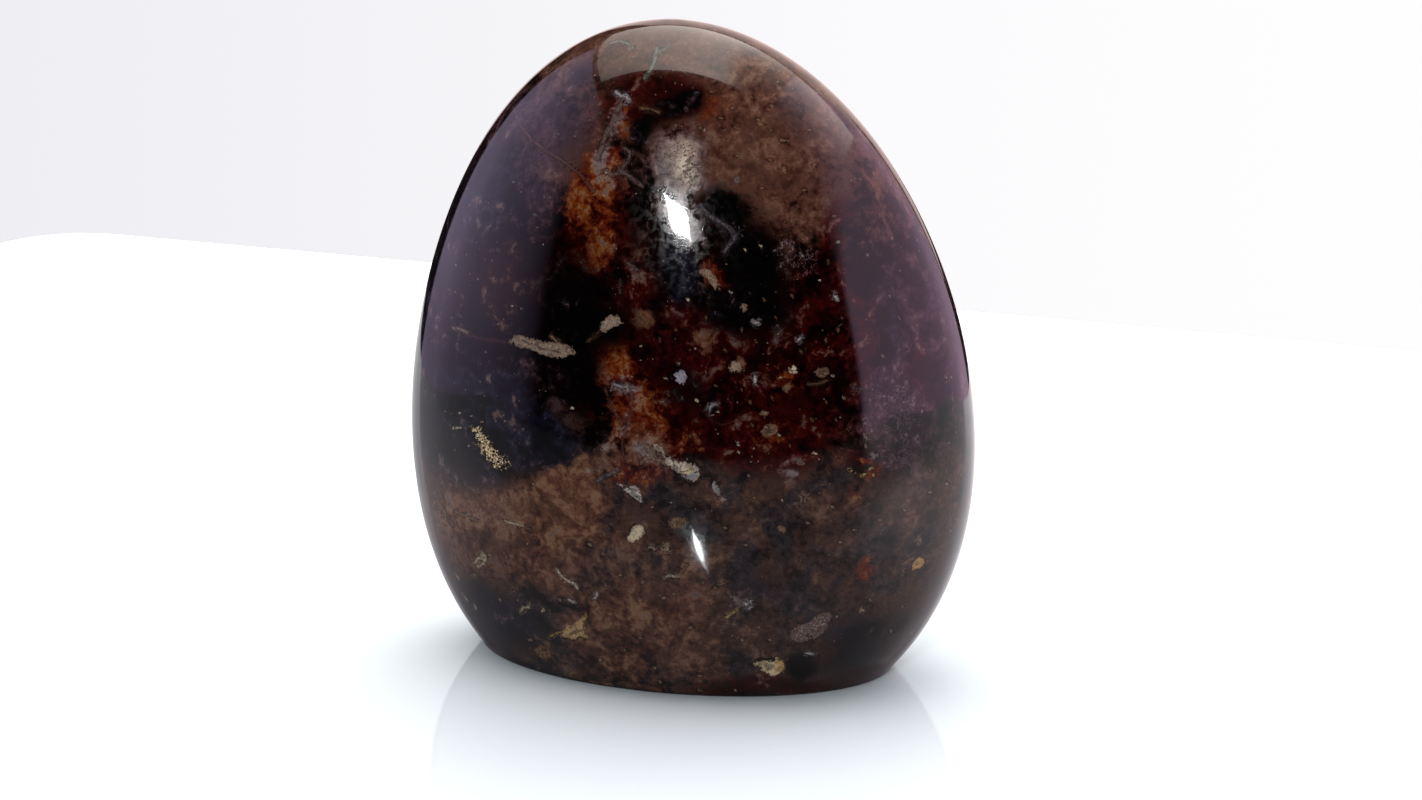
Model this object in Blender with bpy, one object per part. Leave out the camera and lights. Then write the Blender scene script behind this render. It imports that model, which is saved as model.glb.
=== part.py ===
"""A polished black opal freeform that stands on a sawn base. Metres, +Z up.

The stone is one closed egg-like body. Every level section is an ellipse, longer along X than along Y.
One egg curve gives the half width at each height, and the ellipses drift a little towards -X above and
below the widest level. The origin is the middle of the base, on the surface that the stone stands on.
"""

import math

import bmesh
import bpy

HEIGHT = 0.120  # base to crown
HALF_WIDTH = 0.0536  # at the widest level
DEPTH_SHARE = 0.56  # front-to-back size as a share of the width
WIDEST_AT = 0.36  # height of the widest level, as a share of HEIGHT
ROOT = 0.017  # how far under the base the egg would have closed, had it not been sawn off
TAPER = -0.49  # narrows the body towards the crown
SWELL = 0.36  # fills the shoulders and the foot out again
LEAN = 0.0069  # sideways drift of the sections, per squared share of the height
BASE_EDGE = 0.0005  # eased edge round the sawn base
CROWN_FLAT = 0.0015  # half width of the last level, which closes the crown

SIDES = 64
RINGS = 32
EDGE_SEGMENTS = 2

STONE_COLOUR = (0.035, 0.020, 0.015, 1.0)
STONE_ROUGHNESS = 0.05
STONE_IOR = 1.45


def egg(height):
    """The squared half width at a height, up to a scale."""
    share = height / HEIGHT - WIDEST_AT
    shape = 1 + TAPER * share + SWELL * share * share
    return (height + ROOT) * (HEIGHT - height) * shape


def half_width(height):
    return HALF_WIDTH * math.sqrt(egg(height) / egg(WIDEST_AT * HEIGHT))


def drift(height):
    """How far the middle of the section at a height lies along X."""
    share = height / HEIGHT - WIDEST_AT
    return -LEAN * share * share


def crown_height():
    """The height at which the body is only CROWN_FLAT wide, found by halving."""
    low = WIDEST_AT * HEIGHT
    high = HEIGHT
    while high - low > 1e-8:
        middle = (low + high) / 2
        if half_width(middle) > CROWN_FLAT:
            low = middle
        else:
            high = middle
    return low


def ring_heights():
    """Heights from the base to the crown, closer together where the wall turns in."""
    middle = (HEIGHT - ROOT) / 2
    reach = (HEIGHT + ROOT) / 2
    first = math.acos(-middle / reach)
    last = math.acos((crown_height() - middle) / reach)
    angles = [first + (last - first) * step / RINGS for step in range(RINGS + 1)]
    return [0.0] + [middle + reach * math.cos(angle) for angle in angles[1:]]


def ring(mesh, height):
    """One level section: its vertices, in order round the stone."""
    wide = half_width(height)
    deep = wide * DEPTH_SHARE
    turns = [2 * math.pi * side / SIDES for side in range(SIDES)]
    middle = drift(height)
    return [mesh.verts.new((middle + wide * math.cos(t), deep * math.sin(t), height)) for t in turns]


def wall(mesh, lower, upper):
    """The faces between two neighbouring rings, facing out."""
    for side in range(SIDES):
        after = (side + 1) % SIDES
        mesh.faces.new((lower[side], lower[after], upper[after], upper[side]))


def stone_mesh():
    mesh = bmesh.new()
    rings = [ring(mesh, height) for height in ring_heights()]
    for lower, upper in zip(rings, rings[1:]):
        wall(mesh, lower, upper)
    base = mesh.faces.new(list(reversed(rings[0])))
    mesh.faces.new(rings[-1])
    bmesh.ops.bevel(
        mesh,
        geom=list(base.edges),
        offset=BASE_EDGE,
        offset_type="OFFSET",
        segments=EDGE_SEGMENTS,
        profile=0.5,
        affect="EDGES",
    )
    bmesh.ops.recalc_face_normals(mesh, faces=mesh.faces[:])
    data = bpy.data.meshes.new("opal_stone")
    mesh.to_mesh(data)
    mesh.free()
    return data


def stone_material():
    material = bpy.data.materials.new("polished_black_opal")
    material.use_nodes = True
    shader = material.node_tree.nodes["Principled BSDF"]
    shader.inputs["Base Color"].default_value = STONE_COLOUR
    shader.inputs["Roughness"].default_value = STONE_ROUGHNESS
    shader.inputs["IOR"].default_value = STONE_IOR
    shader.inputs["Metallic"].default_value = 0.0
    return material


def clear_scene():
    for thing in list(bpy.data.objects):
        bpy.data.objects.remove(thing, do_unlink=True)


def build_stone():
    data = stone_mesh()
    data.materials.append(stone_material())
    data.shade_smooth()
    data.set_sharp_from_angle(angle=math.radians(30))
    stone = bpy.data.objects.new("opal_stone", data)
    bpy.context.collection.objects.link(stone)
    return stone


clear_scene()
build_stone()
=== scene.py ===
"""A polished black opal freeform on a small white table, dressed for a soft studio picture.

Metres, +Z up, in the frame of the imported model. The stone is modelled again with the same egg curve as its
solid, finely enough for a mirror polish, and painted with one procedural material. The places of the
markings are stored on its mesh: each patch, vein and inclusion is listed below by where it is seen in the
camera's frame, and is laid on the surface there. The sides and back get theirs from fixed random draws.
"""

import math
import random

import bmesh
import bpy
import numpy as np
from mathutils import Matrix, Vector, noise


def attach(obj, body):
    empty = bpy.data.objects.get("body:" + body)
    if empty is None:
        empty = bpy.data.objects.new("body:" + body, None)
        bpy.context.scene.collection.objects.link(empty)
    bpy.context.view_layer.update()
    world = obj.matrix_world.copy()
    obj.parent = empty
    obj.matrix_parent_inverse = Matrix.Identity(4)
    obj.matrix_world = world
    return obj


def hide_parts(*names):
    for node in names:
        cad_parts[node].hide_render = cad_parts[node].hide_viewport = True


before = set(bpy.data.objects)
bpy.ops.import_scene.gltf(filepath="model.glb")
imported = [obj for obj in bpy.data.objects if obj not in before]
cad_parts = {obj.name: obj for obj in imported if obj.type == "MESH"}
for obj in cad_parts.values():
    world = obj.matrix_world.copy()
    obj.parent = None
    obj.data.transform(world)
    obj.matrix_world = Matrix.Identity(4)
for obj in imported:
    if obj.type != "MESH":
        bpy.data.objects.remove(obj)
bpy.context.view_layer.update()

# ------------------------------------------------------------------ the stone's form

HEIGHT = 0.120
HALF_WIDTH = 0.0536
DEPTH_SHARE = 0.56
WIDEST_AT = 0.36
ROOT = 0.017
TAPER = -0.49
SWELL = 0.36
LEAN = 0.0069
BASE_EDGE = 0.0005
CROWN_FLAT = 0.0015
SIDES = 48
RINGS = 26
SMOOTHING = 3
RIM_ANGLE = math.radians(20)
HAIR = 1e-6

# ------------------------------------------------------------------ the camera

FRAME_WIDTH = 1422
FRAME_HEIGHT = 800
SENSOR = 36.0
LENS = 70.0
NEAREST_SEEN = 0.01
FARTHEST_SEEN = 20
CAMERA_AZIMUTH = math.radians(14.8)
CAMERA_ELEVATION = math.radians(15.0)
CAMERA_DISTANCE = 0.5086
AIM_RIGHT = 0.0041
AIM_DOWN = 0.0104
MIDDLE = Vector((0, 0, HEIGHT / 2))

MM = 1000.0


def deselect():
    if bpy.context.object and bpy.context.object.mode != "OBJECT":
        bpy.ops.object.mode_set(mode="OBJECT")
    bpy.ops.object.select_all(action="DESELECT")


# ------------------------------------------------------------------ modelling the stone


def egg(height):
    share = height / HEIGHT - WIDEST_AT
    return (height + ROOT) * (HEIGHT - height) * (1 + TAPER * share + SWELL * share * share)


def half_width(height):
    return HALF_WIDTH * math.sqrt(egg(height) / egg(WIDEST_AT * HEIGHT))


def drift(height):
    share = height / HEIGHT - WIDEST_AT
    return -LEAN * share * share


def crown_height():
    low, high = WIDEST_AT * HEIGHT, HEIGHT
    while high - low > HAIR / 100:
        middle = (low + high) / 2
        low, high = (middle, high) if half_width(middle) > CROWN_FLAT else (low, middle)
    return low


def ring_heights():
    middle = (HEIGHT - ROOT) / 2
    reach = (HEIGHT + ROOT) / 2
    first = math.acos(-middle / reach)
    last = math.acos((crown_height() - middle) / reach)
    angles = [first + (last - first) * step / RINGS for step in range(RINGS + 1)]
    return [0.0] + [middle + reach * math.cos(angle) for angle in angles[1:]]


def select_edges(piece, wanted):
    """In edit mode, selects only the edges for which wanted(edge) is true."""
    bpy.ops.mesh.select_all(action="DESELECT")
    mesh = bmesh.from_edit_mesh(piece.data)
    for edge in mesh.edges:
        if wanted(edge):
            edge.select_set(True)
    bmesh.update_edit_mesh(piece.data)


def on_the_table(edge):
    return all(abs(corner.co.z) < HAIR for corner in edge.verts)


def raise_the_wall():
    """A round base ring pulled up level by level, then closed over the crown with a grid of faces."""
    heights = ring_heights()
    bpy.ops.mesh.primitive_circle_add(vertices=SIDES, radius=half_width(0), fill_type="NOTHING")
    stone = bpy.context.object
    bpy.ops.object.mode_set(mode="EDIT")
    bpy.ops.mesh.select_mode(type="EDGE")
    bpy.ops.mesh.select_all(action="SELECT")
    bpy.ops.transform.translate(value=(drift(0), 0, 0))
    for lower, upper in zip(heights, heights[1:]):
        step = (drift(upper) - drift(lower), 0, upper - lower)
        bpy.ops.mesh.extrude_region_move(TRANSFORM_OT_translate={"value": step})
        grow = half_width(upper) / half_width(lower)
        centre = (drift(upper), 0, upper)
        bpy.ops.transform.resize(value=(grow, grow, 1), center_override=centre)
    bpy.ops.mesh.fill_grid(span=SIDES // 4)
    return stone


def close_the_base(stone):
    """The sawn face, with a crease that keeps it flat while the wall is smoothed."""
    select_edges(stone, on_the_table)
    bpy.ops.mesh.edge_face_add()
    select_edges(stone, lambda edge: on_the_table(edge) and len(edge.link_faces) == 2)
    bpy.ops.transform.edge_crease(value=1.0)
    bpy.ops.mesh.select_all(action="SELECT")
    bpy.ops.transform.resize(value=(1, DEPTH_SHARE, 1), center_override=(0, 0, 0))
    bpy.ops.mesh.normals_make_consistent(inside=False)
    bpy.ops.object.mode_set(mode="OBJECT")


def smooth_the_wall(stone):
    smoothing = stone.modifiers.new("smoothing", "SUBSURF")
    smoothing.levels = smoothing.render_levels = SMOOTHING
    bpy.ops.object.modifier_apply(modifier=smoothing.name)


def ease_the_base_edge(stone):
    def is_rim(edge):
        return on_the_table(edge) and edge.calc_face_angle(0) > RIM_ANGLE

    bpy.ops.object.mode_set(mode="EDIT")
    select_edges(stone, is_rim)
    bpy.ops.mesh.bevel(offset=BASE_EDGE, segments=3, affect="EDGES")
    bpy.ops.object.mode_set(mode="OBJECT")
    bpy.ops.object.shade_smooth()


def model_stone():
    deselect()
    stone = raise_the_wall()
    close_the_base(stone)
    smooth_the_wall(stone)
    ease_the_base_edge(stone)
    stone.name = "polished_stone"
    stone.data.name = "polished_stone"
    return stone


# ------------------------------------------------------------------ camera and frame points


def towards(azimuth, elevation):
    """The direction out from the stone: azimuth 0 is straight in front, positive to the right."""
    flat = math.cos(elevation)
    return Vector((math.sin(azimuth) * flat, -math.cos(azimuth) * flat, math.sin(elevation)))


def make_camera():
    data = bpy.data.cameras.new("camera")
    data.sensor_width = SENSOR
    data.lens = LENS
    data.clip_start = NEAREST_SEEN
    data.clip_end = FARTHEST_SEEN
    camera = bpy.data.objects.new("camera", data)
    bpy.context.scene.collection.objects.link(camera)
    right = Vector((math.cos(CAMERA_AZIMUTH), math.sin(CAMERA_AZIMUTH), 0))
    aim = MIDDLE + right * AIM_RIGHT - Vector((0, 0, AIM_DOWN))
    camera.location = MIDDLE + towards(CAMERA_AZIMUTH, CAMERA_ELEVATION) * CAMERA_DISTANCE
    camera.rotation_euler = (aim - camera.location).to_track_quat("-Z", "Y").to_euler()
    bpy.context.scene.camera = camera
    bpy.context.view_layer.update()
    return camera


def ray_through(camera, x, y):
    focal = LENS / SENSOR * FRAME_WIDTH
    local = Vector((x - FRAME_WIDTH / 2, FRAME_HEIGHT / 2 - y, -focal)).normalized()
    return camera.matrix_world.to_quaternion() @ local


class Spot:
    """A place on the stone seen at a point of the frame, with the tangent plane there."""

    def __init__(self, stone, camera, x, y):
        self.origin = camera.location
        self.camera = camera
        hit, self.place, self.out, _ = stone.ray_cast(self.origin, ray_through(camera, x, y))
        if not hit:
            raise ValueError(f"no stone at {x}, {y}")

    def on_plane(self, x, y):
        ray = ray_through(self.camera, x, y)
        return self.origin + ray * ((self.place - self.origin).dot(self.out) / ray.dot(self.out))


# ------------------------------------------------------------------ what is seen where
#
# Frame points are (x, y) with half sizes in the same units, and turns are clockwise degrees.

BLACK = (4, 2, 2)
WHITE = (214, 210, 206)
CREAM = (206, 192, 160)
BUTTER = (186, 158, 98)
BEIGE = (138, 118, 98)
TAN = (122, 98, 72)
SAND = (100, 76, 52)
RUST = (98, 50, 26)
SMOKE = (98, 82, 78)
MAUVE = (96, 74, 88)
FROST = (160, 156, 158)
BLUE = (94, 90, 96)
SAGE = (116, 128, 116)
ROSE = (100, 66, 56)
MAROON = (66, 26, 24)

# Large soft fields of colour, by kind: x, y, half length, half width, turn, strength.
FIELDS = {
    "black": {
        "big": (748, 268, 27, 40, -8, 1.5),
        "big_low": (740, 312, 34, 15, 5, 0.9),
        "crown": (684, 100, 22, 15, 0, 1.05),
        "crown_left": (655, 120, 22, 14, 10, 0.6),
        "notch": (640, 138, 10, 20, 20, 0.9),
        "vein": (722, 204, 17, 17, 0, 1.4),
        "left": (565, 285, 28, 54, 0, 0.6),
        "left_low": (594, 326, 46, 18, 5, 1.0),
        "left_side": (582, 376, 16, 40, 0, 0.9),
        "inner": (632, 226, 10, 20, 0, 0.5),
        "foot": (802, 668, 10, 14, 0, 1.3),
        "foot_left": (470, 604, 22, 34, 35, 0.5),
        "foot_right": (858, 648, 44, 18, -30, 0.85),
        "centre": (688, 398, 24, 20, 0, 0.6),
        "centre_right": (806, 400, 30, 16, 0, 0.5),
        "eye": (672, 372, 12, 8, 0, 0.7),
    },
    "ember": {
        "top": (585, 190, 16, 34, 10, 1.05),
        "edge": (607, 208, 5, 26, 0, 0.8),
        "drop": (596, 250, 9, 16, 0, 0.7),
        "right": (633, 190, 10, 10, 0, 0.5),
        "blob": (615, 160, 6, 9, 10, 1.6),
        "olive": (622, 126, 6, 12, 0, 1.1),
        "olive_high": (623, 107, 4, 5, 0, 0.7),
        "stem": (620, 374, 17, 28, 0, 0.9),
        "heart": (658, 444, 28, 17, 30, 1.1),
        "under": (632, 470, 30, 16, 0, 0.9),
        "middle": (640, 420, 18, 26, 0, 0.8),
        "fringe": (709, 276, 14, 7, 40, 1.3),
        "corner": (862, 463, 8, 9, 0, 0.75),
        "amber": (871, 474, 6, 6, 0, 1.2),
        "spot": (854, 497, 6, 7, 0, 0.6),
        "foot": (858, 572, 13, 14, 0, 0.85),
        "foot_left": (579, 606, 12, 8, 0, 0.6),
        "crown": (712, 104, 16, 18, 0, 0.7),
        "shoulder": (795, 77, 12, 8, 50, 0.8),
        "grain": (792, 376, 12, 9, 0, 0.7),
        "ring": (770, 430, 14, 9, 10, 0.7),
    },
    "blood": {
        "top": (596, 222, 30, 46, 5, 1.3),
        "crown": (655, 98, 56, 26, 0, 1.25),
        "middle": (656, 346, 44, 30, 0, 1.15),
        "patch": (700, 345, 34, 30, 20, 0.7),
        "stem": (640, 412, 34, 46, 0, 0.9),
        "right": (795, 390, 56, 66, 0, 0.5),
        "edge": (824, 290, 22, 48, 0, 1.0),
        "edge_high": (845, 215, 12, 28, 15, 0.9),
        "low": (760, 440, 64, 34, 0, 0.85),
        "sole": (770, 689, 70, 9, 0, 1.2),
        "wedge": (578, 352, 30, 12, 10, 0.7),
        "dash": (583, 407, 10, 4, 52, 0.9),
        "heart": (702, 446, 36, 24, 15, 0.7),
        "left": (638, 288, 20, 16, 0, 0.6),
        "mauve": (917, 371, 15, 24, 0, 0.75),
        "veil": (860, 335, 12, 56, 0, 0.8),
        "corner": (858, 462, 10, 12, 0, 0.9),
    },
    "umber": {
        "crown": (772, 146, 76, 52, 40, 1.2),
        "top": (738, 58, 64, 30, 14, 1.0),
        "shoulder": (577, 158, 24, 22, 50, 0.9),
        "left": (535, 115, 30, 22, 40, 0.5),
        "haze_left": (562, 412, 52, 10, 44, 0.6),
        "rim": (596, 52, 16, 12, -30, 0.9),
        "far_left": (452, 505, 34, 46, 0, 0.75),
        "rosy_band": (488, 524, 66, 28, 4, 1.5),
        "rosy_root": (536, 556, 30, 28, 30, 1.1),
        "rosy_shelf": (566, 496, 40, 22, 0, 0.9),
        "olive_middle": (640, 630, 68, 54, 0, 1.05),
    },
    # Earthy colour, painted lighter in part to stand in for the white table's reflection.
    "earth_and_table_sheen": {
        "middle": (690, 590, 150, 84, 0, 1.3),
        "left": (560, 540, 74, 58, 0, 1.0),
        "right": (830, 574, 90, 62, 0, 1.0),
        "foot": (640, 660, 120, 30, 5, 0.9),
        "far_right": (930, 520, 30, 60, 0, 0.7),
    },
    "tan": {
        "band": (484, 513, 54, 16, 8, 1.4),
        "shelf": (566, 481, 27, 15, -10, 1.2),
        "leaf_side": (600, 500, 12, 26, 0, 0.4),
        "root": (545, 552, 20, 28, 20, 0.85),
        "wisp": (616, 606, 26, 8, 12, 0.75),
        "fuzz": (651, 320, 17, 9, 0, 0.9),
        "patch": (702, 340, 18, 14, 20, 0.45),
        "low": (632, 640, 44, 34, 0, 0.45),
        "smear": (540, 652, 13, 8, 30, 1.0),
        "vein": (682, 572, 8, 6, -30, 0.6),
        "leaf": (588, 507, 9, 24, 10, 1.3),
        "grain": (745, 308, 6, 6, 0, 0.8),
        "star": (736, 367, 12, 8, 0, 0.7),
        "heart": (650, 448, 24, 18, 30, 1.15),
        "pool": (610, 460, 22, 15, 0, 0.8),
    },
    "mist": {
        "thread": (609, 136, 6, 24, 16, 0.65),
        "left": (600, 160, 8, 12, 0, 0.6),
        "stem": (622, 385, 12, 6, 10, 1.1),
        "stem_low": (628, 412, 5, 22, 0, 0.4),
        "pool": (610, 453, 20, 10, 0, 0.7),
        "heart": (660, 458, 24, 9, 30, 0.85),
        "high": (724, 228, 16, 8, 25, 0.55),
        "foot": (745, 599, 10, 8, 0, 0.7),
        "dot": (787, 470, 7, 4, 0, 0.8),
        "low": (600, 474, 14, 7, -15, 0.8),
    },
    "mauve": {
        "high": (540, 122, 50, 32, 35, 1.0),
        "curls": (895, 428, 28, 50, 8, 1.1),
        "right": (900, 280, 34, 60, -15, 0.5),
        "left": (536, 200, 20, 30, 0, 0.8),
        "shoulder": (850, 120, 20, 50, -40, 0.6),
    },
    "indigo": {
        "left": (486, 190, 26, 46, 20, 0.9),
        "low": (484, 432, 62, 54, 0, 1.3),
        "low_right": (545, 446, 26, 16, 0, 1.1),
        "violet_band": (680, 282, 14, 28, -8, 1.1),
        "dark": (668, 250, 10, 11, 0, 0.9),
        "crown": (584, 76, 24, 14, -30, 0.8),
        "shoulder": (842, 178, 26, 36, 30, 0.5),
        "right": (890, 330, 13, 66, 0, 0.6),
        "foot": (763, 592, 30, 16, 0, 0.4),
        "foot_low": (492, 618, 48, 30, 35, 1.2),
        "foot_rim": (850, 640, 48, 26, -25, 0.75),
        "belly": (768, 556, 40, 34, 0, 0.45),
        "root": (640, 510, 26, 16, 0, 0.5),
        "foot_right": (835, 586, 6, 18, 0, 0.6),
    },
    "lace": {
        "patch": (787, 252, 14, 16, 0, 1.0),
        "patch_right": (813, 261, 12, 15, 0, 1.0),
        "left": (608, 150, 12, 34, 5, 0.8),
        "high": (726, 228, 18, 10, 20, 0.7),
        "heart": (665, 468, 44, 16, 22, 0.8),
        "middle": (636, 425, 22, 40, 0, 0.45),
        "curls": (896, 425, 24, 46, 5, 1.2),
        "violet": (690, 290, 24, 20, 20, 0.5),
        "band": (490, 515, 40, 14, 8, 0.8),
        "crown": (715, 100, 16, 18, 0, 0.35),
    },
    # Painted highlight haze round the lamp's reflection; "cream" is a real pale patch inside it.
    "glare": {
        "high": (676, 157, 26, 29, 10, 0.95),
        "cream": (690, 168, 12, 24, 4, 1.0),
        "side": (696, 232, 9, 18, -20, 0.65),
        "low": (664, 208, 7, 20, -20, 0.3),
    },
    "fleck": {
        "heart": (479, 438, 16, 8, 52, 1.0),
        "tail": (495, 458, 15, 6, 50, 0.9),
    },
}

# Fields that carry the colours over the top and round the back: kind, place and reach in mm, strength.
AROUND = (
    ("umber", (6, 8, 117), 24, 1.3),  # crown
    ("umber", (-14, 8, 114), 12, 0.7),  # crown left
    ("umber", (28, 8, 101), 15, 0.9),  # right shoulder
    ("mauve", (-34, 6, 92), 13, 0.9),  # left shoulder
    ("indigo", (-49, 6, 58), 19, 1.0),  # left flank
    ("mauve", (50, 4, 60), 18, 0.9),  # right flank
    ("earth_and_table_sheen", (-44, 6, 18), 20, 1.0),  # foot left
    ("earth_and_table_sheen", (44, 6, 18), 22, 1.1),  # foot right
    ("earth_and_table_sheen", (4, 26, 20), 34, 1.3),  # foot back
    ("umber", (-16, 22, 92), 15, 1.1),  # back umber
    ("blood", (8, 28, 64), 20, 0.9),  # back blood
    ("black", (-6, 29, 66), 9, 1.3),  # back black
    ("indigo", (30, 22, 74), 14, 0.9),  # back indigo
    ("tan", (-30, 22, 38), 13, 0.8),  # back tan
)

# Fine lines: colour, half width, then the points that the line runs through.
VEINS = {
    "shoulder_crack": (
        ROSE, 1.1, (514, 108), (520, 125), (531, 139), (545, 150), (563, 161), (580, 174), (594, 192),
    ),
    "shoulder_branch": (MAUVE, 0.8, (531, 139), (526, 147), (521, 155)),
    "crown_thread": (SAGE, 1.3, (611, 43), (619, 41), (627, 43), (634, 49)),
    "crown_fork": (SAGE, 1.8, (657, 48), (655, 60), (652, 68), (645, 78)),
    "crown_fork_side": (SAGE, 0.9, (656, 51), (663, 50), (670, 46)),
    "blue_stroke": (FROST, 2.0, (616, 92), (621, 96), (626, 95), (629, 101)),
    "blue_stroke_low": (BLUE, 1.3, (621, 101), (618, 107), (625, 117), (617, 120)),
    "long_thread": (SMOKE, 2.2, (621, 104), (615, 113), (612, 122), (605, 136), (602, 147), (597, 158)),
    "long_thread_end": (SMOKE, 1.7, (604, 170), (612, 175), (624, 172), (634, 180), (642, 186)),
    "long_thread_ring": (SMOKE, 1.5, (624, 148), (630, 152), (629, 160), (622, 168)),
    "tan_streak": (SAND, 1.6, (641, 108), (650, 109), (659, 112)),
    "high_thread": (BLUE, 1.9, (700, 206), (708, 215), (718, 221), (729, 228), (736, 236)),
    "high_thread_low": (BLUE, 1.8, (736, 236), (730, 244), (724, 252)),
    "left_streak": (BEIGE, 1.5, (452, 328), (460, 329), (468, 333)),
    "left_crack": (MAROON, 1.5, (469, 335), (482, 339), (494, 340), (505, 342)),
    "wedge_spur": (BEIGE, 1.3, (551, 336), (556, 341), (563, 346)),
    "kite_line": (SAND, 0.6, (600, 331), (594, 336), (588, 341)),
    "stem": (ROSE, 0.9, (632, 390), (632, 402), (630, 416), (626, 429), (622, 441), (623, 455)),
    "stem_branch": (ROSE, 1.0, (605, 389), (611, 405), (617, 416), (622, 424)),
    "stem_bar": (FROST, 1.2, (614, 384), (621, 387), (630, 387)),
    "heart_arm": (BEIGE, 1.6, (641, 463), (646, 459), (648, 455), (654, 459), (661, 461), (668, 465)),
    "heart_brow": (BEIGE, 1.2, (644, 445), (648, 448), (652, 448), (655, 451)),
    "heart_lip": (BLACK, 0.9, (686, 460), (693, 463), (701, 467), (703, 471)),
    "heart_lip_low": (BLACK, 1.1, (680, 479), (687, 483), (695, 485)),
    "third_lip": (BLACK, 1.0, (711, 484), (712, 479), (718, 483)),
    "second_thread": (BLUE, 1.8, (596, 482), (603, 477), (612, 474), (618, 469)),
    "band_streak": (CREAM, 1.1, (505, 521), (514, 524), (522, 525)),
    "band_streak_low": (TAN, 0.9, (524, 526), (531, 530)),
    "band_hook": (BEIGE, 0.9, (449, 504), (455, 511), (463, 515), (476, 520)),
    "curl": (CREAM, 1.5, (557, 570), (561, 576), (568, 581), (575, 584), (577, 588)),
    "curl_ring": (TAN, 0.9, (589, 590), (595, 588), (598, 594), (595, 600), (589, 598)),
    "curl_crescent": (WHITE, 0.9, (597, 594), (595, 599)),
    "dash": (WHITE, 1.1, (569, 600), (574, 602)),
    "squiggle": (CREAM, 0.9, (520, 612), (524, 607), (529, 608), (530, 603)),
    "comma_high": (CREAM, 1.1, (456, 575), (459, 579)),
    "comma_middle": (CREAM, 1.2, (464, 596), (467, 600)),
    "comma_low": (CREAM, 1.2, (474, 604), (476, 609)),
    "cluster_a": (CREAM, 1.3, (475, 563), (479, 557), (484, 560)),
    "cluster_b": (CREAM, 1.3, (482, 552), (486, 557), (483, 564), (478, 567)),
    "pink_streak": (TAN, 1.3, (504, 553), (507, 558), (508, 564)),
    "right_thread": (TAN, 1.7, (903, 564), (909, 560), (914, 558)),
    "right_thread_low": (SMOKE, 2.0, (904, 568), (902, 576)),
    "right_hook": (CREAM, 0.8, (918, 538), (920, 541), (918, 544)),
    "short_line": (BEIGE, 0.6, (818, 485), (830, 484)),
    "upright_line": (BEIGE, 0.6, (855, 383), (855, 392)),
    "edge_line": (MAUVE, 0.7, (852, 389), (863, 388)),
    "white_fork": (WHITE, 0.9, (744, 603), (748, 605), (751, 601)),
    "white_fork_stem": (WHITE, 0.9, (748, 605), (749, 609)),
    "white_dash": (WHITE, 1.3, (807, 653), (813, 654)),
    "slant": (BUTTER, 1.3, (726, 618), (731, 614), (737, 610)),
    "small_dash": (BEIGE, 0.8, (718, 585), (725, 583)),
    "low_curl": (CREAM, 1.0, (666, 577), (671, 575), (677, 578), (680, 574)),
    "low_curl_side": (SAND, 1.1, (680, 574), (685, 568), (688, 564)),
    "hook_a": (CREAM, 0.8, (648, 548), (651, 546), (654, 549)),
    "hook_b": (CREAM, 0.9, (662, 546), (667, 545), (668, 551)),
    "fork_right": (BEIGE, 0.9, (798, 494), (802, 499), (809, 494)),
    "fork_right_stem": (BEIGE, 0.9, (802, 499), (801, 504)),
    "wisp": (BUTTER, 0.9, (549, 637), (557, 633), (566, 631)),
    "burst_ray": (BUTTER, 1.1, (586, 614), (585, 621), (582, 626)),
    "crescent": (WHITE, 1.0, (753, 322), (756, 324), (759, 322)),
    "white_streak": (WHITE, 1.0, (797, 341), (801, 338)),
    "white_streak_high": (WHITE, 1.1, (834, 295), (837, 299)),
    "white_hook": (WHITE, 1.0, (709, 409), (711, 405), (716, 404)),
    "upright_speck": (WHITE, 1.0, (755, 376), (755, 382)),
    "arc_a": (MAROON, 1.0, (706, 413), (712, 421), (722, 425), (733, 422), (740, 415)),
    "arc_b": (SAND, 1.0, (809, 384), (818, 384), (828, 380)),
    "mauve_arc": (MAUVE, 1.0, (877, 391), (881, 393), (883, 398)),
    "mauve_arc_b": (MAUVE, 1.0, (888, 417), (895, 415), (900, 420)),
    "mauve_ring": (MAUVE, 1.1, (899, 452), (905, 450), (909, 455), (904, 460), (898, 457)),
    "mauve_ring_low": (MAUVE, 1.0, (900, 464), (907, 463), (913, 467), (911, 474)),
    "mauve_tail": (MAUVE, 0.8, (909, 440), (907, 446), (906, 451)),
    "dash_right": (WHITE, 0.8, (872, 456), (877, 455)),
    "grey_mark": (SMOKE, 1.4, (628, 263), (632, 266), (637, 270)),
    "thin_upright": (SMOKE, 0.5, (620, 281), (620, 293)),
}

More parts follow.
